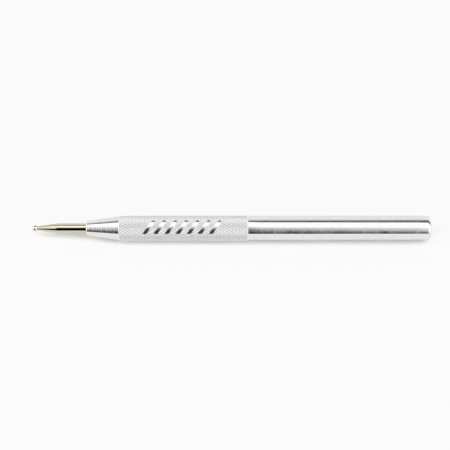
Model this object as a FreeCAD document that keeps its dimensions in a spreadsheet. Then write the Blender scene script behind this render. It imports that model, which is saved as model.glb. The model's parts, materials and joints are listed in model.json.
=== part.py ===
"""Ball-tipped stylus for leather and foil work: a turned aluminium handle with a knurled grip and a
tapered nose, a nickel-plated steel shank pressed into it, and a small steel ball brazed to its end.

The tool lies along X. The origin is the centre of the handle's butt face, +X points out of that face,
the ball is at the -X end, and +Z is up. Every length is measured forwards from the butt face, so each
body is drawn along its own +X and then turned half a turn about Z. Units are millimetres.
"""

import FreeCAD, Part
import math
import os
import Sketcher

OUT = "parts"
SHEET = "Sizes"
FULL_TURN = 360
HALF_TURN = 180
NO_OVERLAP = 1e-4  # mm3, what two neighbours may share where their faces touch
LEAST_CUT = 1e-3  # mm3, what a cut that met the metal takes at least
SAME_POINT = 1e-6  # mm
SAME_RING = 1e-4  # mm, in radius and in place

# Numbers that sketches use for their own axes and for a side's points
H_AXIS, V_AXIS = -1, -2
START, END, CENTRE = 1, 2, 3

# Driving dimensions: alias, value, meaning. Millimetres, and degrees where the name says angle.
DRIVING = [
    ("overall_length", 127.0, "butt face to the front of the ball"),
    ("barrel_diameter", 7.94, "smooth barrel, 5/16 inch bar"),
    ("barrel_length", 58.0, "butt face to the back of the grip"),
    ("butt_edge_radius", 1.1, "rounding round the butt face"),
    ("grip_diameter", 8.18, "crests of the knurl, raised above the bar"),
    ("grip_length", 40.1, "back of the grip to the nose's sharp corner"),
    ("grip_back_slope", 0.6, "length of the slope from the barrel up to the crests"),
    ("shoulder_radius", 18.0, "easing between the grip and the nose"),
    ("nose_length", 11.4, "sharp corner to the nose's front face"),
    ("nose_diameter", 4.70, "nose's front face"),
    ("nose_lip_radius", 0.35, "rounding of the nose's front edge"),
    ("bore_diameter", 3.30, "blind bore for the shank"),
    ("bore_depth", 15.0, "nose's front face to the full-width bottom"),
    ("drill_point_angle", 118, "included angle of the bore's end"),
    ("bore_mouth_chamfer", 0.12, "deburring of the bore's mouth"),
    ("shank_diameter", 3.18, "1/8 inch pin"),
    ("shank_reach", 9.3, "nose's front face to the start of the taper"),
    ("tang_length", 14.0, "nose's front face back to the pressed end"),
    ("tang_lead", 3.5, "plain length just inside the bore"),
    ("spline_count", 20, "straight knurl on the tang"),
    ("spline_depth", 0.13, "groove between two splines"),
    ("spline_width", 0.16, "width of a groove at the crest circle"),
    ("tang_end_chamfer", 0.30, "lead-in on the pressed end"),
    ("taper_break_radius", 6.0, "easing where the taper starts"),
    ("neck_diameter", 1.45, "shank's flat end, behind the ball"),
    ("ball_diameter", 2.00, "working ball"),
    ("braze_gap", 0.10, "filler between the shank's end and the back of the ball"),
    ("braze_rim_angle", 58, "angle from the axis at which the filler ends on the ball"),
    ("braze_hollow_radius", 0.90, "hollow curve of the filler's rim"),
]


def make_sheet(doc):
    sheet = doc.addObject("Spreadsheet::Sheet", SHEET)
    for row, (alias, value, meaning) in enumerate(DRIVING, start=1):
        sheet.set(f"A{row}", meaning)
        sheet.set(f"B{row}", str(value))
        sheet.setAlias(f"B{row}", alias)
    doc.recompute()
    return sheet


def size(doc, expression):
    """The number that an expression over the sheet's aliases comes to, such as "Sizes.grip_diameter / 2"."""
    value = doc.getObject(SHEET).evalExpression(expression)
    return float(getattr(value, "Value", value))


def drive(thing, path, expression):
    """Binds a property, or a sketch's named constraint, to the sheet."""
    thing.setExpression(path, expression)


def origin_feature(body, role):
    return next(f for f in body.Origin.OriginFeatures if f.Role == role)


def new_body(doc, label):
    """A body drawn along its own +X, forwards from the butt face, and turned to run along the row's -X."""
    body = doc.addObject("PartDesign::Body", label)
    body.Label = label
    body.Placement = FreeCAD.Placement(
        FreeCAD.Vector(0, 0, 0), FreeCAD.Rotation(FreeCAD.Vector(0, 0, 1), HALF_TURN)
    )
    return body


def new_sketch(body, name, plane, offset=None):
    sketch = body.newObject("Sketcher::SketchObject", name)
    sketch.AttachmentSupport = (origin_feature(body, plane), [""])
    sketch.MapMode = "FlatFace"
    if offset:
        drive(sketch, "AttachmentOffset.Base.z", offset)
    return sketch


def pin_point(sketch, label, geometry, end, x_expression, y_expression):
    """Holds one end of a side at a place worked out from the sheet. "0" puts it on that axis."""
    doc = sketch.Document
    for axis, constraint, expression in (
        (V_AXIS, "DistanceX", x_expression),
        (H_AXIS, "DistanceY", y_expression),
    ):
        if expression == "0":
            sketch.addConstraint(Sketcher.Constraint("PointOnObject", geometry, end, axis))
            continue
        value = size(doc, expression)
        index = sketch.addConstraint(
            Sketcher.Constraint(constraint, H_AXIS, START, geometry, end, value)
        )
        name = f"{label}_{'x' if constraint == 'DistanceX' else 'y'}"
        sketch.renameConstraint(index, name)
        drive(sketch, f"Constraints.{name}", expression)


def draw_outline(sketch, corners, arcs=None):
    """A closed outline through the corners, each (label, x, y) with x and y as expressions.

    arcs gives, for the side that starts at a corner, its radius as an expression and which side its
    centre is on: 1 left of travel, -1 right.
    """
    doc = sketch.Document
    arcs = arcs or {}
    places = [FreeCAD.Vector(size(doc, x), size(doc, y), 0) for _, x, y in corners]
    for start, corner in enumerate(corners):
        a, b = places[start], places[(start + 1) % len(places)]
        if corner[0] in arcs:
            radius, side = arcs[corner[0]]
            along = (b - a).normalize()
            left = FreeCAD.Vector(-along.y, along.x, 0)
            half = (b - a).Length / 2
            bulge = size(doc, radius) - math.sqrt(size(doc, radius) ** 2 - half**2)
            middle = (a + b) / 2 - left * side * bulge
            sketch.addGeometry(Part.Arc(a, middle, b), False)
        else:
            sketch.addGeometry(Part.LineSegment(a, b), False)
    ends = [side_ends(sketch, index, places[index]) for index in range(len(corners))]
    for index, (label, x, y) in enumerate(corners):
        follower = (index + 1) % len(corners)
        sketch.addConstraint(
            Sketcher.Constraint("Coincident", index, ends[index][1], follower, ends[follower][0])
        )
        pin_point(sketch, label, index, ends[index][0], x, y)
        if label in arcs:
            radius = arcs[label][0]
            rule = sketch.addConstraint(Sketcher.Constraint("Radius", index, size(doc, radius)))
            sketch.renameConstraint(rule, f"{label}_radius")
            drive(sketch, f"Constraints.{label}_radius", radius)


def side_ends(sketch, index, start):
    """Which end numbers of a side are its start and its end: a sketch arc always runs anticlockwise."""
    first = sketch.getPoint(index, START)
    return (START, END) if (first - start).Length < SAME_POINT else (END, START)


def revolve(body, name, sketch):
    """Turns a half-section about the tool's axis."""
    feature = body.newObject("PartDesign::Revolution", name)
    feature.Profile = sketch
    feature.ReferenceAxis = (sketch, ["H_Axis"])
    feature.Angle = FULL_TURN
    sketch.Visibility = False
    body.Document.recompute()
    return feature


def ring_edges(feature, x_expression, diameter_expression):
    """Names of the circular edges at one distance along the body's axis and of one diameter."""
    doc = feature.Document
    x, radius = size(doc, x_expression), size(doc, diameter_expression) / 2
    found = []
    for index, edge in enumerate(feature.Shape.Edges, start=1):
        curve = edge.Curve
        if isinstance(curve, Part.Circle) and abs(curve.Radius - radius) < SAME_RING:
            if abs(curve.Center.x - x) < SAME_RING:
                found.append(f"Edge{index}")
    if not found:
        raise RuntimeError(f"{feature.Name} has no ring edge at {x}, radius {radius}")
    return found


def round_ring(body, name, base, x, diameter, radius):
    """Rounds one turned edge."""
    fillet = body.newObject("PartDesign::Fillet", name)
    fillet.Base = (base, ring_edges(base, x, diameter))
    drive(fillet, "Radius", radius)
    body.Document.recompute()
    return fillet


def bevel_ring(body, name, base, x, diameter, width):
    """Chamfers one turned edge."""
    chamfer = body.newObject("PartDesign::Chamfer", name)
    chamfer.Base = (base, ring_edges(base, x, diameter))
    drive(chamfer, "Size", width)
    body.Document.recompute()
    return chamfer


NOSE_CORNER = "Sizes.barrel_length + Sizes.grip_length"
NOSE_FACE = f"{NOSE_CORNER} + Sizes.nose_length"
TAPER_START = f"{NOSE_FACE} + Sizes.shank_reach"
BALL_CENTRE = "Sizes.overall_length - Sizes.ball_diameter / 2"
NECK_FACE = "Sizes.overall_length - Sizes.ball_diameter - Sizes.braze_gap"


def make_handle(doc):
    """One turned bar: smooth barrel, grip at its crest diameter, eased shoulder, nose and blind bore."""
    body = new_body(doc, "handle")
    half_section = new_sketch(body, "HandleHalfSection", "XY_Plane")
    draw_outline(
        half_section,
        [
            ("butt_axis", "0", "0"),
            ("butt", "0", "Sizes.barrel_diameter / 2"),
            ("barrel_end", "Sizes.barrel_length", "Sizes.barrel_diameter / 2"),
            ("grip_back", "Sizes.barrel_length + Sizes.grip_back_slope", "Sizes.grip_diameter / 2"),
            ("grip_front", NOSE_CORNER, "Sizes.grip_diameter / 2"),
            ("nose_front", NOSE_FACE, "Sizes.nose_diameter / 2"),
            ("nose_axis", NOSE_FACE, "0"),
        ],
    )
    bar = revolve(body, "TurnedBar", half_section)
    shoulder = round_ring(
        body, "ShoulderEasing", bar, NOSE_CORNER, "Sizes.grip_diameter", "Sizes.shoulder_radius"
    )
    butt = round_ring(
        body, "ButtRounding", shoulder, "0", "Sizes.barrel_diameter", "Sizes.butt_edge_radius"
    )
    lip = round_ring(
        body, "NoseLip", butt, NOSE_FACE, "Sizes.nose_diameter", "Sizes.nose_lip_radius"
    )
    bored = drill_bore(body, lip)
    bevel_ring(body, "BoreMouth", bored, NOSE_FACE, "Sizes.bore_diameter", "Sizes.bore_mouth_chamfer")
    return body


def drill_bore(body, base):
    """The blind drilled hole in the nose that takes the shank's tang."""
    circle = new_sketch(body, "BoreCircle", "YZ_Plane", NOSE_FACE)
    radius = size(body.Document, "Sizes.bore_diameter / 2")
    circle.addGeometry(Part.Circle(FreeCAD.Vector(), FreeCAD.Vector(0, 0, 1), radius), False)
    circle.addConstraint(Sketcher.Constraint("Coincident", 0, CENTRE, H_AXIS, START))
    rule = circle.addConstraint(Sketcher.Constraint("Diameter", 0, 2 * radius))
    circle.renameConstraint(rule, "bore")
    drive(circle, "Constraints.bore", "Sizes.bore_diameter")
    body.Document.recompute()
    hole = body.newObject("PartDesign::Hole", "Bore")
    hole.Profile = circle
    hole.DepthType = "Dimension"
    hole.DrillPoint = "Angled"
    drive(hole, "Diameter", "Sizes.bore_diameter")
    drive(hole, "Depth", "Sizes.bore_depth")
    drive(hole, "DrillPointAngle", "Sizes.drill_point_angle")
    circle.Visibility = False
    body.Document.recompute()
    if hole.Shape.Volume > base.Shape.Volume - LEAST_CUT:
        hole.Reversed = True
        body.Document.recompute()
    return hole


def make_shank(doc):
    """A plated steel pin: splined tang in the bore, plain length, and a taper to its flat end."""
    body = new_body(doc, "shank")
    tang_end = f"{NOSE_FACE} - Sizes.tang_length"
    spline_start = f"{NOSE_FACE} - Sizes.tang_lead"
    plain = "Sizes.shank_diameter / 2"
    crest = "Sizes.bore_diameter / 2"
    half_section = new_sketch(body, "ShankHalfSection", "XY_Plane")
    draw_outline(
        half_section,
        [
            ("tang_axis", tang_end, "0"),
            ("tang_end", tang_end, f"{crest} - Sizes.tang_end_chamfer"),
            ("crest_back", f"{tang_end} + Sizes.tang_end_chamfer", crest),
            ("crest_front", spline_start, crest),
            ("plain_back", f"{spline_start} + {crest} - {plain}", plain),
            ("taper_back", TAPER_START, plain),
            ("neck", NECK_FACE, "Sizes.neck_diameter / 2"),
            ("neck_axis", NECK_FACE, "0"),
        ],
    )
    pin = revolve(body, "TurnedPin", half_section)
    eased = round_ring(
        body, "TaperEasing", pin, TAPER_START, "Sizes.shank_diameter", "Sizes.taper_break_radius"
    )
    cut_splines(body, eased, tang_end, spline_start)
    return body


def cut_splines(body, base, tang_end, spline_start):
    """Straight V grooves round the tang, whose lands bite the bore."""
    doc = body.Document
    groove = new_sketch(body, "SplineGroove", "YZ_Plane", tang_end)
    crest = "Sizes.bore_diameter / 2"
    above_crest = f"{crest} + Sizes.spline_depth"  # clear of the metal, where the V is twice its width
    draw_outline(
        groove,
        [
            ("root", "0", f"{crest} - Sizes.spline_depth"),
            ("right", "Sizes.spline_width", above_crest),
            ("left", "0 - Sizes.spline_width", above_crest),
        ],
    )
    doc.recompute()
    pocket = body.newObject("PartDesign::Pocket", "FirstSpline")
    pocket.Profile = groove
    drive(pocket, "Length", "Sizes.tang_length - Sizes.tang_lead")
    groove.Visibility = False
    doc.recompute()
    if pocket.Shape.Volume > base.Shape.Volume - LEAST_CUT:
        pocket.Reversed = not pocket.Reversed
        doc.recompute()
    if pocket.Shape.Volume > base.Shape.Volume - LEAST_CUT:
        raise RuntimeError("the spline groove cut nothing from the tang")
    ring = body.newObject("PartDesign::PolarPattern", "Splines")
    ring.Originals = [pocket]
    ring.Axis = (origin_feature(body, "X_Axis"), [""])
    ring.Angle = FULL_TURN
    drive(ring, "Occurrences", "Sizes.spline_count")
    body.Tip = ring
    doc.recompute()
    return ring


def make_ball(doc):
    """The hardened steel ball."""
    ball = doc.addObject("Part::Sphere", "ball_tip")
    ball.Label = "ball_tip"
    drive(ball, "Radius", "Sizes.ball_diameter / 2")
    drive(ball, "Placement.Base.x", f"0 - ({BALL_CENTRE})")
    return ball


def make_braze(doc):
    """The filler between the shank's flat end and the ball, hollowed all round like a fillet."""
    body = new_body(doc, "braze_joint")
    ball_radius = "Sizes.ball_diameter / 2"
    half_section = new_sketch(body, "BrazeHalfSection", "XY_Plane")
    draw_outline(
        half_section,
        [
            ("neck_axis", NECK_FACE, "0"),
            ("neck", NECK_FACE, "Sizes.neck_diameter / 2"),
            (
                "ball_rim",
                f"{BALL_CENTRE} - {ball_radius} * cos(Sizes.braze_rim_angle)",
                f"{ball_radius} * sin(Sizes.braze_rim_angle)",
            ),
            ("ball_back", f"{BALL_CENTRE} - {ball_radius}", "0"),
        ],
        arcs={
            "neck": ("Sizes.braze_hollow_radius", 1),
            "ball_rim": (ball_radius, 1),
        },
    )
    revolve(body, "BrazedFillet", half_section)
    return body


def check(doc, pieces):
    """Stops on a failed feature, a bad solid, or two pieces that share space."""
    doc.recompute()
    for thing in doc.Objects:
        if {"Invalid", "Error"} & set(thing.State):
            raise RuntimeError(f"{thing.Name} failed: {thing.State}")
    for piece in pieces:
        shape = piece.Shape
        if shape.isNull() or not shape.isValid() or not shape.Solids:
            raise RuntimeError(f"{piece.Label} is not a valid solid")
        box = shape.optimalBoundingBox()
        print(
            f"{piece.Label}: {shape.Volume:.4f} mm3, x {box.XMin:.3f} to {box.XMax:.3f}, "
            f"y {box.YLength:.3f}, z {box.ZLength:.3f}, {len(shape.Solids)} solid"
        )
    for index, piece in enumerate(pieces):
        for other in pieces[index + 1 :]:
            shared = piece.Shape.common(other.Shape).Volume
            if shared > NO_OVERLAP:
                raise RuntimeError(f"{piece.Label} and {other.Label} share {shared:.5f} mm3")


def main():
    doc = FreeCAD.newDocument("BallStylus")
    make_sheet(doc)
    pieces = [make_handle(doc), make_shank(doc), make_ball(doc), make_braze(doc)]
    check(doc, pieces)
    os.makedirs(OUT, exist_ok=True)
    for piece in pieces:
        piece.Shape.exportStep(os.path.join(OUT, f"{piece.Label}.step"))


main()
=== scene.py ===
"""Looks of a ball-tipped stylus: knurled aluminium handle, plated shank and steel ball.

Every visible piece is a fine turned mesh at the CAD frame's own sizes. Units are metres, in the frame's
axes: X runs along the tool, the ball is at -X and +Z is up. Angles round the tool are measured from
straight up towards the front, which is -Y.
"""

import json
import math

import bpy
import numpy as np
from mathutils import Matrix, Vector


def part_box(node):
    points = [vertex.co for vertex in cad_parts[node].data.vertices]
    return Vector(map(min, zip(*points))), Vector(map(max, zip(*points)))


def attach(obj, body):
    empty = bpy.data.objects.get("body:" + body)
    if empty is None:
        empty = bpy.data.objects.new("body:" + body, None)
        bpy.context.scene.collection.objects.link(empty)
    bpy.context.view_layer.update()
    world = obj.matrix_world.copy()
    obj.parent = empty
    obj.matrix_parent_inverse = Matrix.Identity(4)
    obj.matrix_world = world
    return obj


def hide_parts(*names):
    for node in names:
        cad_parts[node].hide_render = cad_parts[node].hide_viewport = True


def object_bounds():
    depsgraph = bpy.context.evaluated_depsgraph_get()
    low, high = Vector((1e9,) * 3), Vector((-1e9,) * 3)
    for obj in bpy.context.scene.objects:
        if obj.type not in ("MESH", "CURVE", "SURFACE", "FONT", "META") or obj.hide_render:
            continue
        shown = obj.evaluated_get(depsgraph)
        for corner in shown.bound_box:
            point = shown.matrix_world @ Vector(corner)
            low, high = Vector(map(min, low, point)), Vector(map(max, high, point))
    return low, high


MM = 0.001
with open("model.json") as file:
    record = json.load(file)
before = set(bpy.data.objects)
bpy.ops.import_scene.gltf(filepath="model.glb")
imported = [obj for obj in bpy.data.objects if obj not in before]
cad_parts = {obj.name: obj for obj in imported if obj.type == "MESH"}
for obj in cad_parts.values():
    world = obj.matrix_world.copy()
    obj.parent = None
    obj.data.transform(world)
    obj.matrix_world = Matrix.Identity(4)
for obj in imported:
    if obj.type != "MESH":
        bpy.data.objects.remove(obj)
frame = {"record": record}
cad_low, cad_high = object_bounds()

# ---------------------------------------------------------------- places and sizes, from the frame
handle_low, handle_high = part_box("handle")
shank_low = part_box("shank")[0]
ball_low, ball_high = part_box("ball_tip")
braze_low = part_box("braze_joint")[0]
barrel = next(m for m in frame["record"]["mounts"] if m["name"] == "barrel")

BARREL_RADIUS = barrel["dims"]["r_mm"] * MM
BARREL_LENGTH = barrel["dims"]["length_mm"] * MM
CREST_RADIUS = handle_high.z
BUTT_X = handle_high.x
BARREL_END_X = barrel["pos_m"][0] + BARREL_LENGTH / 2  # where the butt's rounding starts
GRIP_BACK_X = barrel["pos_m"][0] - BARREL_LENGTH / 2
NOSE_X = handle_low.x
BALL_RADIUS = (ball_high.x - ball_low.x) / 2
BALL_X = (ball_high.x + ball_low.x) / 2
NECK_X = shank_low.x
BRAZE_RIM_X = braze_low.x

# ---------------------------------------------------------------- the handle's turned shape
BUTT_ROUNDING = BUTT_X - BARREL_END_X
GRIP_BACK_SLOPE = 0.6 * MM
NOSE_LENGTH = 11.4 * MM
NOSE_RADIUS = 2.35 * MM
NOSE_LIP = 0.35 * MM
SHOULDER_RADIUS = 18.0 * MM
BORE_RADIUS = 1.65 * MM
BORE_DEPTH = 15.0 * MM
BORE_CHAMFER = 0.12 * MM
DRILL_POINT = math.radians(59)  # half angle of the bore's end
NOSE_SLOPE = (CREST_RADIUS - NOSE_RADIUS) / NOSE_LENGTH
SHOULDER_X = NOSE_X + NOSE_LENGTH  # the sharp corner under the shoulder's easing

# The lathe tool's rings on the nose: length, half depth and phase of each wave that they are made of
TURNING_MARKS = (
    (0.83 * MM, 0.0034 * MM, 0.4),
    (1.37 * MM, 0.0044 * MM, 2.1),
    (0.47 * MM, 0.0012 * MM, 4.0),
)
MARKS_FADE = 0.5 * MM  # how far before the knurl they start to fade out

# How finely the mesh divides each stretch
LIP_ROWS = 8
NOSE_ROWS = 84
BARREL_ROWS = 16
ROUNDING_ROWS = 14
FACE_SHARES = (0.75, 0.5, 0.25)  # radii of the butt face's rows, as shares of the flat's radius

NOSE, GRIP, BARREL, BUTT = range(4)  # the handle's material slots

# ---------------------------------------------------------------- the shank and the joint
SHANK_RADIUS = 1.59 * MM
TAPER_X = NOSE_X - 9.3 * MM
TANG_X = NOSE_X + 3.5 * MM  # how far into the bore the plain length goes
TAPER_EASING = 6.0 * MM
NECK_RADIUS = 0.725 * MM
HOLLOW_RADIUS = 0.9 * MM
TAPER_ROWS, EASING_ROWS, SHANK_ROWS = 12, 6, 10
CUP_ROWS, HOLLOW_ROWS, BALL_ROWS = 8, 10, 48
THIN_COLUMNS = 96  # mesh columns round the shank, the joint and the ball

# ---------------------------------------------------------------- the knurl
STARTS = 30  # helices each way
STEPS = 8  # mesh columns and rows per diamond
COLUMNS = STARTS * STEPS
KNURL_FRONT_X = NOSE_X + 10.35 * MM
KNURL_ROWS = 230
KNURL_STEP = (GRIP_BACK_X - KNURL_FRONT_X) / KNURL_ROWS
DIAMOND_LENGTH = STEPS * KNURL_STEP
KNURL_DEPTH = 0.17 * MM
KNURL_RUN_OUT = 0.35 * MM
FLANK = (0.0, 0.27, 0.55, 0.85, 1.0)  # height from groove to crest, at each mesh step

# Plain burnished bars across the grip, where the knurling tool left the bar's own surface
BAR_COUNT = 7
BAR_FIRST_X = GRIP_BACK_X - 33.25 * MM
BAR_SPACING = 3.5 * MM
BAR_WIDTH = 1.36 * MM
BAR_LENGTH = 5.1 * MM
BAR_SLANT = math.radians(34)
BAR_MIDDLE = math.radians(31)  # angle round the tool
BAR_EDGE = 0.36 * MM  # width over which the knurl passes into a bar
BAR_SHARES = (0.80, 0.96)  # how flat the metal is where the polish starts and where it is whole

FLOOR_Z = -CREST_RADIUS  # the tool lies on its grip
SHARP_ANGLE = math.radians(28)  # an edge that turns more than this is shaded as a corner


def smooth_step(low, high, value):
    """0 at low, 1 at high, and a smooth rise between. low may be the greater."""
    t = np.clip((value - low) / (high - low), 0, 1)
    return t * t * (3 - 2 * t)


def arc(centre_x, centre_r, radius, start, stop, steps):
    """Points (x, r) on an arc. Angles are in degrees, from +X towards +r."""
    angles = np.radians(np.linspace(start, stop, steps + 1))
    return [(centre_x + radius * math.cos(a), centre_r + radius * math.sin(a)) for a in angles]


# ---------------------------------------------------------------- meshes
def turned_mesh(name, outline, columns, relief=None, split=None, zone=None, materials=()):
    """A closed turned solid.

    outline is (x, r) points that start and end on the axis, with x growing along the outside.
    relief(x, r, angle) gives the final radii, and named marks for the finishes to read.
    split(row, column) is None where a quad stays whole. True divides it by the diagonal that steps back
    a column from its first row to its second, and False by the one that steps forward.
    zone(row, column) is the quad's material slot.
    """
    xs = np.array([p[0] for p in outline[1:-1]])
    rs = np.array([p[1] for p in outline[1:-1]])
    angles = np.arange(columns) * 2 * math.pi / columns
    x_grid, angle_grid = np.meshgrid(xs, angles, indexing="ij")
    r_grid = np.repeat(rs[:, None], columns, axis=1)
    marks = {}
    if relief:
        r_grid, marks = relief(x_grid, r_grid, angle_grid)
    grid = np.stack([x_grid, -r_grid * np.sin(angle_grid), r_grid * np.cos(angle_grid)], axis=-1)
    points = grid.reshape(-1, 3).tolist()
    start, end = len(points), len(points) + 1
    points += [(outline[0][0], 0.0, 0.0), (outline[-1][0], 0.0, 0.0)]
    faces, zones = [], []
    last_row = len(xs) - 1
    for row in range(-1, last_row + 1):
        for column in range(columns):
            after = (column + 1) % columns
            a, b = row * columns + column, row * columns + after
            c, d = b + columns, a + columns
            if row == -1:
                made = [(start, after, column)]
            elif row == last_row:
                made = [(a, b, end)]
            else:
                diagonal = split(row, column) if split else None
                if diagonal is None:
                    made = [(a, b, c, d)]
                elif diagonal:
                    made = [(a, b, d), (b, c, d)]
                else:
                    made = [(a, b, c), (a, c, d)]
            faces += made
            zones += [zone(row, column) if zone else 0] * len(made)
    mesh = bpy.data.meshes.new(name)
    mesh.from_pydata(points, [], faces)
    for material in materials:
        mesh.materials.append(material)
    mesh.polygons.foreach_set("material_index", zones)
    for mark, shares in marks.items():
        attribute = mesh.attributes.new(mark, "FLOAT", "POINT")
        attribute.data.foreach_set("value", shares.ravel().tolist() + [0.0, 0.0])
    mesh.polygons.foreach_set("use_smooth", [True] * len(faces))
    mesh.set_sharp_from_angle(angle=SHARP_ANGLE)
    mesh.update()
    piece = bpy.data.objects.new(name, mesh)
    bpy.context.scene.collection.objects.link(piece)
    return piece


def turned_radius(x):
    """The handle's radius as turned, before knurling, from the nose's lip to the butt's rounding."""
    lean = math.atan(NOSE_SLOPE)
    tangent = SHOULDER_RADIUS * math.tan(lean / 2)
    into_easing = np.clip(x - SHOULDER_X - tangent, -SHOULDER_RADIUS / 2, 0)
    easing = CREST_RADIUS - SHOULDER_RADIUS + np.sqrt(SHOULDER_RADIUS**2 - into_easing**2)
    cone = NOSE_RADIUS + (x - NOSE_X) * NOSE_SLOPE
    grip = np.where(x < SHOULDER_X - tangent * math.cos(lean), cone, easing)
    slope = np.clip((GRIP_BACK_X - x) / GRIP_BACK_SLOPE, 0, 1)
    return np.minimum(grip, BARREL_RADIUS + (CREST_RADIUS - BARREL_RADIUS) * slope)


def turning_marks(x):
    """How far the lathe tool's shallow uneven rings change the nose's radius."""
    change = 0.0
    for length, half_depth, phase in TURNING_MARKS:
        change += half_depth * (math.sin(2 * math.pi * x / length + phase) - 1)
    return change * float(smooth_step(KNURL_FRONT_X, KNURL_FRONT_X - MARKS_FADE, x))


def groove_height(turns):
    """Height across one family of grooves, 0 in a groove and 1 on a crest."""
    from_groove = np.abs(turns - np.round(turns))
    return np.interp(from_groove * STEPS, range(len(FLANK)), FLANK)


def knurl_families(x, angle):
    """How many grooves each of the two opposite helices has passed at a place."""
    round_turns = angle / (2 * math.pi) * STARTS
    along_turns = (x - KNURL_FRONT_X) / DIAMOND_LENGTH
    return round_turns + along_turns, round_turns - along_turns


def burnished(x, angle):
    """1 on the plain bars, 0 on the knurl."""
    signed = (angle - BAR_MIDDLE + math.pi) % (2 * math.pi) - math.pi
    across = signed * CREST_RADIUS
    share = np.zeros_like(x)
    for index in range(BAR_COUNT):
        along = x - (BAR_FIRST_X + (index + 0.5) * BAR_SPACING)
        length = across * math.cos(BAR_SLANT) - along * math.sin(BAR_SLANT)
        width = across * math.sin(BAR_SLANT) + along * math.cos(BAR_SLANT)
        beyond = np.maximum(np.abs(length) - BAR_LENGTH / 2, 0)
        distance = np.hypot(beyond, width) - BAR_WIDTH / 2
        share = np.maximum(share, 1 - smooth_step(-BAR_EDGE / 2, BAR_EDGE / 2, distance))
    return share


def handle_relief(x, r, angle):
    """Presses the diamonds into the grip's rows and leaves every other row as turned."""
    u, v = knurl_families(x, angle)
    height = np.minimum(groove_height(u), groove_height(v))
    run_out = smooth_step(KNURL_FRONT_X, KNURL_FRONT_X + KNURL_RUN_OUT, x)
    run_out = run_out * smooth_step(GRIP_BACK_X, GRIP_BACK_X - KNURL_RUN_OUT, x)
    knurled = r - KNURL_DEPTH * run_out * (1 - height)
    plain = np.minimum(r, BARREL_RADIUS)
    share = burnished(x, angle) * run_out
    outside = (x >= KNURL_FRONT_X) & (x <= GRIP_BACK_X) & (r > BORE_RADIUS + BORE_CHAMFER)
    radii = np.where(outside, knurled * (1 - share) + plain * share, r)
    # crest is the height that the knurl's painted groove shade and crest light follow
    return radii, {"crest": 1 - run_out * (1 - height), "bar": share}


def build_handle(finishes):
    """The one-piece handle. Its rows run from the bore's bottom out of the mouth, then to the butt."""
    drill_end = NOSE_X + BORE_DEPTH + BORE_RADIUS / math.tan(DRILL_POINT)
    outline = [(drill_end, 0.0), (NOSE_X + BORE_DEPTH, BORE_RADIUS)]
    outline += [(NOSE_X + BORE_CHAMFER, BORE_RADIUS), (NOSE_X, BORE_RADIUS + BORE_CHAMFER)]
    lean = math.degrees(math.atan(NOSE_SLOPE))
    lip_r = turned_radius(np.array(NOSE_X + NOSE_LIP)) - NOSE_LIP / math.cos(math.radians(lean))
    outline += arc(NOSE_X + NOSE_LIP, float(lip_r), NOSE_LIP, 180, 90 + lean, LIP_ROWS)
    for x in np.linspace(outline[-1][0], KNURL_FRONT_X, NOSE_ROWS)[1:-1]:
        outline.append((x, float(turned_radius(x)) + turning_marks(x)))
    first_knurl = len(outline) - 1
    for row in range(KNURL_ROWS + 1):
        x = KNURL_FRONT_X + row * KNURL_STEP
        outline.append((x, float(turned_radius(x))))
    last_knurl = len(outline) - 2
    for x in np.linspace(GRIP_BACK_X, BARREL_END_X, BARREL_ROWS)[1:-1]:
        outline.append((x, BARREL_RADIUS))
    flat_radius = BARREL_RADIUS - BUTT_ROUNDING
    outline += arc(BARREL_END_X, flat_radius, BUTT_ROUNDING, 90, 0, ROUNDING_ROWS)
    first_butt = len(outline) - 2
    for share in FACE_SHARES:
        outline.append((BUTT_X, flat_radius * share))
    outline.append((BUTT_X, 0.0))

    def split(row, column):
        if not first_knurl <= row < last_knurl:
            return None
        along = row - first_knurl
        u, v = (column + along + 1) / STEPS, (column - along) / STEPS
        return bool(groove_height(u) < groove_height(v))

    def zone(row, column):
        if row < first_knurl:
            return NOSE
        if row < last_knurl:
            return GRIP
        return BUTT if row >= first_butt else BARREL

    return turned_mesh("turned_handle", outline, COLUMNS, handle_relief, split, zone, finishes)


def build_shank(finish):
    """Plain length and taper, from inside the bore to the flat end behind the ball."""
    slope = (SHANK_RADIUS - NECK_RADIUS) / (TAPER_X - NECK_X)
    lean = math.atan(slope)
    tangent = TAPER_EASING * math.tan(lean / 2)
    outline = [(NECK_X, 0.0), (NECK_X, NECK_RADIUS)]
    eased_end = TAPER_X - tangent * math.cos(lean)
    for x in np.linspace(NECK_X, eased_end, TAPER_ROWS)[1:-1]:
        outline.append((x, NECK_RADIUS + (x - NECK_X) * slope))
    centre_x, centre_r = TAPER_X + tangent, SHANK_RADIUS - TAPER_EASING
    outline += arc(centre_x, centre_r, TAPER_EASING, 90 + math.degrees(lean), 90, EASING_ROWS)
    for x in np.linspace(TAPER_X + tangent, TANG_X, SHANK_ROWS)[1:]:
        outline.append((x, SHANK_RADIUS))
    outline.append((TANG_X, 0.0))
    return turned_mesh("plated_shank", outline, THIN_COLUMNS, materials=[finish])


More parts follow.
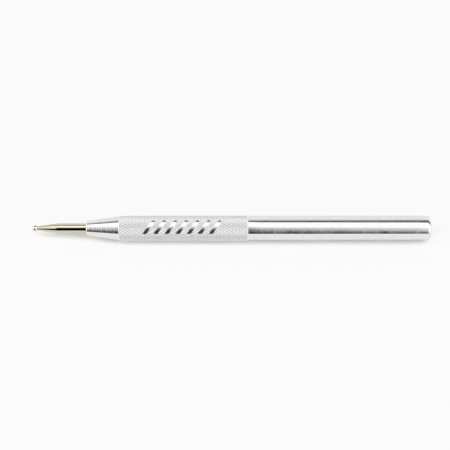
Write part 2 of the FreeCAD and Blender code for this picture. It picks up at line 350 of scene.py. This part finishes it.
def build_braze(finish):
    """The filler between the shank's flat end and the ball: flat behind, hollowed round the rim."""
    rim_r = math.sqrt(BALL_RADIUS**2 - (BRAZE_RIM_X - BALL_X) ** 2)
    chord = math.hypot(NECK_X - BRAZE_RIM_X, rim_r - NECK_RADIUS)
    facing = math.atan2(rim_r - NECK_RADIUS, BRAZE_RIM_X - NECK_X)
    middle_x, middle_r = (NECK_X + BRAZE_RIM_X) / 2, (NECK_RADIUS + rim_r) / 2
    reach = math.sqrt(HOLLOW_RADIUS**2 - chord**2 / 4)
    centre_x = middle_x + reach * math.sin(facing)
    centre_r = middle_r - reach * math.cos(facing)
    start = math.degrees(math.atan2(rim_r - centre_r, BRAZE_RIM_X - centre_x))
    stop = math.degrees(math.atan2(NECK_RADIUS - centre_r, NECK_X - centre_x))
    rim_angle = math.degrees(math.atan2(rim_r, BRAZE_RIM_X - BALL_X))
    outline = arc(BALL_X, 0.0, BALL_RADIUS, 0, rim_angle, CUP_ROWS)
    outline += arc(centre_x, centre_r, HOLLOW_RADIUS, start, stop, HOLLOW_ROWS)[1:]
    outline.append((NECK_X, 0.0))
    return turned_mesh("brazed_joint", outline, THIN_COLUMNS, materials=[finish])


def build_ball(finish):
    """The whole ball. A part of it lies in the filler's cup."""
    outline = arc(BALL_X, 0.0, BALL_RADIUS, 180, 0, BALL_ROWS)
    outline[0], outline[-1] = (outline[0][0], 0.0), (outline[-1][0], 0.0)
    return turned_mesh("steel_ball", outline, THIN_COLUMNS, materials=[finish])


# ---------------------------------------------------------------- finishes
NOISE_RANGE = (0.3, 0.7)
FINE_RELIEF = 0.004 * MM  # height of the surface's finest marks
RING_TURN = 0.09 / MM  # how quickly a ring changes round the tool
QUARTER_TURN = 0.25  # from round the tool to along it
PATCH_ALONG, PATCH_ROUND = 0.55 / MM, 0.12 / MM  # how quickly the polish wanders
SHADE_AND_POLISH_WANDER = 0.15  # how much the knurl's painted groove shade and its roughness wander at random
GROOVE_DULLING = 1.3  # the grooves' roughness against the crests'
BAR_VARIETY, PLAIN_VARIETY = 0.1, 0.25  # how much the roughness varies, as a share of itself
MOTTLE_RANGE = (0.35, 0.65)  # the noise over which plain metal passes from its colour to its tint


class Nodes:
    """A node tree built one node at a time. An input takes a value or another node's output."""

    def __init__(self, tree):
        self.tree = tree
        tree.nodes.clear()

    def add(self, kind, inputs=None, **settings):
        made = self.tree.nodes.new("ShaderNode" + kind)
        for key, value in settings.items():
            setattr(made, key, value)
        for key, value in (inputs or {}).items():
            if isinstance(value, bpy.types.NodeSocket):
                self.tree.links.new(value, made.inputs[key])
            else:
                made.inputs[key].default_value = value
        return made

    def math(self, operation, *values):
        """One operation, such as ADD or MAXIMUM, on values or outputs."""
        return self.add("Math", dict(enumerate(values)), operation=operation).outputs[0]

    def between(self, value, low, high, to_low, to_high):
        """Maps low to to_low and high to to_high, and holds the value at either end."""
        ends = {"From Min": low, "From Max": high, "To Min": to_low, "To Max": to_high}
        return self.add("MapRange", {"Value": value, **ends}).outputs[0]

    def noise(self, place, **inputs):
        """The value of a noise texture at a place."""
        return self.add("TexNoise", {"Vector": place, **inputs}).outputs["Fac"]

    def wander(self, noise, low, high):
        """Spreads a noise, which keeps mostly within NOISE_RANGE, from low to high."""
        return self.between(noise, *NOISE_RANGE, low, high)

    def mix(self, share, first, second):
        """Mixes two colours. The node's colours go into its inputs 6 and 7 and out of its output 2."""
        made = self.add("Mix", data_type="RGBA")
        for key, value in ((0, share), (6, first), (7, second)):
            if isinstance(value, bpy.types.NodeSocket):
                self.tree.links.new(value, made.inputs[key])
            else:
                made.inputs[key].default_value = value
        return made.outputs[2]


def new_finish(name):
    """A new material and its empty node tree."""
    material = bpy.data.materials.new(name)
    material.use_nodes = True
    return material, Nodes(material.node_tree)


def bare_metal(material, nodes, shade, rough, relief, strength, more=None):
    """Ends a finish: metal of a colour and a roughness, with a fine relief of the given strength."""
    bump = nodes.add("Bump", {"Strength": strength, "Distance": FINE_RELIEF, "Height": relief})
    surface = {"Base Color": shade, "Metallic": 1.0, "Roughness": rough, "Normal": bump.outputs[0]}
    shader = nodes.add("BsdfPrincipled", {**surface, **(more or {})})
    nodes.add("OutputMaterial", {"Surface": shader.outputs[0]})
    return material


def turned_metal(name, roughness, spread, stretch, ring_scale, ring_bump, patch=0.15, face=False):
    """Aluminium cut or polished round and round.

    Its fine rings scatter light along the tool, so the roughness is stretched that way. spread is how much
    the roughness varies from ring to ring, ring_scale is rings per millimetre, and patch is how much the
    polish wanders along the tool, as a share of the roughness. On an end face the rings are spaced along
    the radius instead.
    """
    material, nodes = new_finish(name)
    place = nodes.add("TexCoord").outputs["Object"]
    if face:
        across = nodes.add("VectorMath", {0: place, 1: (0, 1, 1)}, operation="MULTIPLY").outputs[0]
        radius = nodes.add("VectorMath", {0: across}, operation="LENGTH").outputs["Value"]
        outward = nodes.add("CombineXYZ", {0: radius}).outputs[0]
        place = nodes.add("VectorMath", {0: across, 1: outward}).outputs[0]
    ring_scales = (ring_scale / MM, RING_TURN, RING_TURN)
    ring_place = nodes.add("Mapping", {"Vector": place, "Scale": ring_scales}).outputs[0]
    rings = nodes.noise(ring_place, Scale=1.0, Detail=4.0, Roughness=0.65)
    patch_scales = (PATCH_ALONG, PATCH_ROUND, PATCH_ROUND)
    patch_place = nodes.add("Mapping", {"Vector": place, "Scale": patch_scales}).outputs[0]
    polish = nodes.noise(patch_place, Scale=1.0, Detail=3.0, Roughness=0.6)
    rough = nodes.wander(rings, roughness - spread, roughness + spread)
    rough = nodes.math("ADD", rough, nodes.wander(polish, -patch * roughness, patch * roughness))
    shade = nodes.mix(nodes.wander(polish, 0, 1), (*ALUMINIUM, 1), (*ALUMINIUM_TINT, 1))
    tangent = nodes.add("Tangent", direction_type="RADIAL", axis="X")
    stretched = {"Anisotropic": stretch, "Anisotropic Rotation": QUARTER_TURN, "Tangent": tangent.outputs[0]}
    return bare_metal(material, nodes, shade, rough, rings, ring_bump, stretched)


def knurled_metal(name, roughness, bar_roughness, grain, grain_bump):
    """Aluminium pressed into diamonds: painted light on the crests and painted shade in the grooves, which
    are also rougher, and smooth on the bars.

    grain is mottles per millimetre.
    """
    material, nodes = new_finish(name)
    place = nodes.add("TexCoord").outputs["Object"]
    mottle = nodes.noise(place, Scale=grain / MM, Detail=3.0)
    crest = nodes.add("Attribute", attribute_name="crest").outputs["Fac"]
    # painted shade in the grooves and painted light on the crests, by crest height with a random wander
    groove_shade_and_mottle = nodes.math("ADD", crest, nodes.wander(mottle, -SHADE_AND_POLISH_WANDER, SHADE_AND_POLISH_WANDER))
    painted_knurl_shade = nodes.mix(nodes.between(groove_shade_and_mottle, 0, 1, 0, 1), (*GROOVE_PAINTED_SHADE, 1), (*CREST_PAINTED_LIGHT, 1))
    knurl_rough = nodes.between(groove_shade_and_mottle, 0, 1, roughness * GROOVE_DULLING, roughness)
    smoothest, roughest = bar_roughness * (1 - BAR_VARIETY), bar_roughness * (1 + BAR_VARIETY)
    bar_rough = nodes.wander(mottle, smoothest, roughest)
    bar = nodes.add("Attribute", attribute_name="bar").outputs["Fac"]
    on_bar = nodes.between(bar, *BAR_SHARES, 0, 1)
    rough = nodes.add("Mix", {0: on_bar, 2: knurl_rough, 3: bar_rough}).outputs[0]  # 2 and 3 take numbers
    shade = nodes.mix(on_bar, painted_knurl_shade, (*ALUMINIUM, 1))
    return bare_metal(material, nodes, shade, rough, mottle, grain_bump)


def plain_metal(name, colour, tint, roughness, grain, grain_bump):
    """Bright metal with a faint mottle in colour, polish and surface. grain is mottles per millimetre."""
    material, nodes = new_finish(name)
    place = nodes.add("TexCoord").outputs["Object"]
    mottle = nodes.noise(place, Scale=grain / MM, Detail=4.0)
    smoothest, roughest = roughness * (1 - PLAIN_VARIETY), roughness * (1 + PLAIN_VARIETY)
    rough = nodes.wander(mottle, smoothest, roughest)
    shade = nodes.mix(nodes.between(mottle, *MOTTLE_RANGE, 0, 1), (*colour, 1), (*tint, 1))
    return bare_metal(material, nodes, shade, rough, mottle, grain_bump)


ALUMINIUM, ALUMINIUM_TINT = (0.79, 0.79, 0.79), (0.76, 0.76, 0.76)
# the knurl's crest colour is painted light and its groove colour painted shade, both of the one aluminium
CREST_PAINTED_LIGHT, GROOVE_PAINTED_SHADE = (0.99, 0.972, 0.982), (0.59, 0.576, 0.581)
NICKEL, NICKEL_TINT = (0.62, 0.59, 0.48), (0.60, 0.565, 0.45)
STEEL, STEEL_TINT = (0.62, 0.62, 0.58), (0.59, 0.59, 0.55)


def dress():
    """Builds every piece in its finish and ties it to the frame."""
    nose = turned_metal(
        "nose_finish", roughness=0.22, spread=0.03, stretch=0.90, ring_scale=2.2, ring_bump=0.5
    )
    grip = knurled_metal(
        "knurl_finish", roughness=0.50, bar_roughness=0.20, grain=6.0, grain_bump=0.2
    )
    smooth = turned_metal(
        "barrel_finish", roughness=0.21, spread=0.04, stretch=0.97, ring_scale=2.2, ring_bump=2.0, patch=0.2
    )
    butt = turned_metal(
        "butt_finish", roughness=0.24, spread=0.05, stretch=0.6, ring_scale=3.4, ring_bump=0.8, face=True
    )
    nickel = plain_metal("nickel_finish", NICKEL, NICKEL_TINT, roughness=0.045, grain=1.4, grain_bump=0.1)
    braze = plain_metal("braze_finish", NICKEL, STEEL_TINT, roughness=0.22, grain=6.0, grain_bump=0.3)
    steel = plain_metal("steel_finish", STEEL, STEEL_TINT, roughness=0.03, grain=2.5, grain_bump=0.05)
    pieces = [
        (build_handle([nose, grip, smooth, butt]), "handle", "handle"),
        (build_shank(nickel), "shank", "shank"),
        (build_ball(steel), "ball_tip", "ball"),
        (build_braze(braze), "braze_joint", "braze"),
    ]
    for piece, node, slot in pieces:
        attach(piece, "root")
        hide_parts(node)


# ---------------------------------------------------------------- studio
ELEVATION = math.radians(57)
LENS = 100.0  # mm
SENSOR = 36.0  # mm
PICTURE_WIDTH = 1.131 * (cad_high.x - cad_low.x)
AIM_ALONG, AIM_ABOVE = -1.87 * MM, 0.965 * MM  # from the tool's middle to the picture's middle
ROLL = -0.0012  # radians by which the camera leans to one side

# The tent's brightness without its lamp, by degrees from straight up, positive towards the front: a pale
# sweep at the back, dark overhead and a pale wall in front.
TENT = [
    (-180, 0.95),
    (-90, 1.0),
    (-62, 1.02),
    (-46, 0.86),
    (-38.5, 0.24),
    (-35, 0.05),
    (0, 0.04),
    (24, 0.3),
    (34, 0.98),
    (60, 1.15),
    (90, 1.1),
    (180, 0.95),
]
# The lamp overhead, by the same degrees: its brightest, and the shapes of its back and front edges. Between
# its back edge and the pale sweep a dark slit is left.
LAMP = 1.9
LAMP_BACK = [(-180, 0.0), (-26, 0.0), (-22, 0.45), (-17, 1.3), (-13, LAMP), (180, LAMP)]
LAMP_FRONT = [(-180, LAMP), (6, LAMP), (17, 1.08), (26, 0.91), (36, 0.87), (46, 0.0), (180, 0.0)]
# How far each edge is moved towards the front, by degrees sideways, positive towards +X
BACK_SKEW = [(0, -3.6), (10, 8.4)]
FRONT_SKEW = [(1.5, -4.0), (10, 20.0)]

WARM, WHITE, COOL = (1.0, 0.985, 0.935), (1.0, 1.0, 1.0), (0.97, 0.975, 1.0)
TINTS = [
    (-180, WARM),
    (-48, WARM),
    (-30, COOL),
    (-14, WHITE),
    (24, WHITE),
    (45, COOL),
    (88, COOL),
    (100, WARM),
]

# The dark opening in the wall in front. Each side is degrees from straight up and degrees sideways. The left
# side's are counted towards -X from straight ahead, and the right side's towards +X from RIGHT_FROM.
OPENING_START = 26.0  # degrees from straight up
OPENING_LEFT = [(31, 16.5), (34, 19.5), (39, 22), (48, 24), (57, 29), (67, 34.5), (77, 43.5), (92, 53)]
OPENING_RIGHT = [(31, 27), (34, 29), (39, 31), (48, 34), (57, 38.5), (67, 43.5), (77, 49), (92, 55)]
OPENING_WIDEST = 60.0  # degrees sideways where both sides end, straight down
RIGHT_FROM = -30.0
OPENING_SOFTNESS = 1.5  # degrees to either side of an edge
OPENING_DARK = 0.003  # the light that it still gives
GLOW = (0.004, 0.010, 0.038)  # a bluish light from its part towards +X
GLOW_START, GLOW_END = -1.0, 3.0  # degrees sideways over which the glow fades in

SIDE_START, SIDE_END = 42.0, 50.0  # degrees towards either side over which the side lamps fade in
SIDE_LAMPS = 2.4  # how much brighter the tent is beyond them

# The tent's one dark corner, faded in over three ranges of degrees: sideways, at its back and at its front
CORNER_SIDE, CORNER_BACK, CORNER_FRONT = (46, 58), (-112, -86), (8, -8)
CORNER_DARK = 0.93

# The paper's colour as it lights the tool and as the camera sees it
PAPER_LIT, PAPER_SEEN = (0.862, 0.859, 0.847), (0.985, 0.985, 0.975)
LIT_BEHIND_SHADE, SEEN_BEHIND_SHADE = 0.95, 0.90  # painted shade: how bright each is behind the tool, against the paper in front
PAPER_TURN = (-3.0 * MM, 4.0 * MM)  # where along Y the one passes into the other
PAPER_HALF = 3.0
PALE = (1.3, 1.3, 1.29)  # what the camera sees past the paper's edge

# Light in the scene and the tone that it has in the picture
TONES = [(0.0, 0.0), (0.89, 0.89), (0.98, 0.948), (1.1, 0.963), (2.5, 1.05)]


def tint_ramp(nodes, angle, stops):
    """A colour that follows (degrees, colour) stops over the whole turn."""
    ramp = nodes.add("ValToRGB", {"Fac": nodes.between(angle, -180, 180, 0, 1)})
    elements = ramp.color_ramp.elements
    while len(elements) < len(stops):
        elements.new(0.5)
    for element, stop in zip(elements, stops):
        element.position = (stop[0] + 180) / 360
    for element, stop in zip(elements, stops):
        element.color = (*stop[1], 1)
    return ramp.outputs[0]


def angle_ramp(nodes, angle, stops, peak):
    """A value that follows (degrees, value) stops over the whole turn. None is above the peak."""
    greys = [(degrees, (value / peak,) * 3) for degrees, value in stops]
    return nodes.math("MULTIPLY", tint_ramp(nodes, angle, greys), peak)


def overhead_lamp(nodes, angle, sideways):
    """The lamp's brightness, the lesser of its two edges' shapes."""
    edges = []
    for shape, ((near, least), (far, most)) in ((LAMP_BACK, BACK_SKEW), (LAMP_FRONT, FRONT_SKEW)):
        skewed = nodes.math("SUBTRACT", angle, nodes.between(sideways, near, far, least, most))
        edges.append(angle_ramp(nodes, skewed, shape, LAMP))
    return nodes.math("MINIMUM", *edges)


def outside_corner(nodes, angle, sideways):
    """The share of light that the tent keeps: less in its dark corner and all elsewhere."""
    corner = nodes.between(sideways, *CORNER_SIDE, 0, CORNER_DARK)
    corner = nodes.math("MULTIPLY", corner, nodes.between(angle, *CORNER_BACK, 0, 1))
    corner = nodes.math("MULTIPLY", corner, nodes.between(angle, *CORNER_FRONT, 0, 1))
    return nodes.math("SUBTRACT", 1.0, corner)


def tent_wall(nodes, angle, sideways):
    """1 on the tent and 0 in its dark opening, with soft sides."""
    left, right = (
        angle_ramp(nodes, angle, [(-180, 0.0), *side, (180, OPENING_WIDEST)], OPENING_WIDEST)
        for side in (OPENING_LEFT, OPENING_RIGHT)
    )
    beyond_left = nodes.math("MULTIPLY", nodes.math("ADD", sideways, left), -1.0)
    beyond_right = nodes.math("SUBTRACT", nodes.math("SUBTRACT", sideways, RIGHT_FROM), right)
    beyond = nodes.math("MAXIMUM", beyond_left, beyond_right)
    ends = {"From Min": -OPENING_SOFTNESS, "From Max": OPENING_SOFTNESS, "To Min": 0.0, "To Max": 1.0}
    wall = nodes.add("MapRange", {"Value": beyond, **ends}, interpolation_type="SMOOTHSTEP").outputs[0]
    return nodes.math("MAXIMUM", wall, nodes.math("LESS_THAN", angle, OPENING_START))


def light_tent():
    """The world: a soft white tent round the tool. The camera itself sees it as plain pale light."""
    world = bpy.data.worlds.new("light_tent")
    world.use_nodes = True
    nodes = Nodes(world.node_tree)
    direction = nodes.add("SeparateXYZ", {0: nodes.add("TexCoord").outputs["Generated"]}).outputs
    front = nodes.math("MULTIPLY", direction[1], -1.0)
    angle = nodes.math("DEGREES", nodes.math("ARCTAN2", front, direction[2]))
    sideways = nodes.math("DEGREES", nodes.math("ARCSINE", direction[0]))
    to_side = nodes.math("ABSOLUTE", sideways)
    side_lamps = nodes.between(to_side, SIDE_START, SIDE_END, 1.0, SIDE_LAMPS)
    lamp = overhead_lamp(nodes, angle, sideways)
    tent = nodes.math("MAXIMUM", angle_ramp(nodes, angle, TENT, LAMP), lamp)
    tent = nodes.math("MULTIPLY", tent, side_lamps)
    tent = nodes.math("MULTIPLY", tent, outside_corner(nodes, angle, sideways))
    wall = tent_wall(nodes, angle, sideways)
    level = nodes.math("ADD", nodes.math("MULTIPLY", tent, wall), OPENING_DARK)
    tent_light = nodes.add("Background", {"Color": tint_ramp(nodes, angle, TINTS), "Strength": level})
    opening = nodes.math("SUBTRACT", 1.0, wall)
    glow_share = nodes.math("MULTIPLY", opening, nodes.between(sideways, GLOW_START, GLOW_END, 0, 1))
    glow = nodes.add("Background", {"Color": (*GLOW, 1), "Strength": glow_share})
    lit = nodes.add("AddShader", {0: tent_light.outputs[0], 1: glow.outputs[0]})
    seen = nodes.add("Background", {"Color": (*PALE, 1), "Strength": 1.0})
    by_camera = nodes.add("LightPath").outputs["Is Camera Ray"]
    shown = nodes.add("MixShader", {0: by_camera, 1: lit.outputs[0], 2: seen.outputs[0]})
    nodes.add("OutputWorld", {"Surface": shown.outputs[0]})
    bpy.context.scene.world = world


def pale_floor():
    """Pale paper under the tool, with painted shade that makes it a little dimmer behind it."""
    mesh = bpy.data.meshes.new("floor")
    corners = [(x * PAPER_HALF, y * PAPER_HALF, FLOOR_Z) for x, y in ((-1, -1), (1, -1), (1, 1), (-1, 1))]
    mesh.from_pydata(corners, [], [(0, 1, 2, 3)])
    floor = bpy.data.objects.new("floor", mesh)
    bpy.context.scene.collection.objects.link(floor)
    material, nodes = new_finish("paper")
    by_camera = nodes.add("LightPath").outputs["Is Camera Ray"]
    depth = nodes.add("SeparateXYZ", {0: nodes.add("TexCoord").outputs["Object"]}).outputs[1]
    papers = []
    for paper, behind in ((PAPER_LIT, LIT_BEHIND_SHADE), (PAPER_SEEN, SEEN_BEHIND_SHADE)):
        # painted shade that dims the paper behind the tool, for the tool's reflections and for the camera
        share = nodes.between(depth, *PAPER_TURN, 1.0, behind)
        papers.append(nodes.add("VectorMath", {0: paper, "Scale": share}, operation="SCALE").outputs[0])
    shader = nodes.add("BsdfDiffuse", {"Color": nodes.mix(by_camera, *papers)})
    nodes.add("OutputMaterial", {"Surface": shader.outputs[0]})
    mesh.materials.append(material)


def camera():
    """The camera in front of the tool and above it, square to it."""
    lens = bpy.data.cameras.new("camera")
    lens.lens, lens.sensor_width = LENS, SENSOR
    lens.clip_start, lens.clip_end = 0.01, 20.0
    eye = bpy.data.objects.new("camera", lens)
    bpy.context.scene.collection.objects.link(eye)
    up = Vector((0, math.sin(ELEVATION), math.cos(ELEVATION)))
    back = Vector((0, -math.cos(ELEVATION), math.sin(ELEVATION)))
    middle = Vector(((cad_low.x + cad_high.x) / 2 + AIM_ALONG, 0, 0)) + up * AIM_ABOVE
    eye.location = middle + back * PICTURE_WIDTH * LENS / SENSOR
    tilt = Matrix.Rotation(math.pi / 2 - ELEVATION, 3, "X")
    eye.rotation_euler = (tilt @ Matrix.Rotation(ROLL, 3, "Z")).to_euler()
    bpy.context.scene.camera = eye


def paper_white():
    """Plain tones up to white paper, which is held just under full white as in a product picture."""
    view = bpy.context.scene.view_settings
    view.view_transform = "Standard"
    view.use_curve_mapping = True
    mapping = view.curve_mapping
    mapping.clip_max_x, mapping.clip_max_y = TONES[-1]
    tones = mapping.curves[3]  # the curve for all three colours together
    tones.points[1].location = TONES[-1]
    for tone in TONES[1:-1]:
        tones.points.new(*tone)
    for point in tones.points:
        point.handle_type = "VECTOR"
    mapping.update()


dress()
light_tent()
pale_floor()
camera()
paper_white()
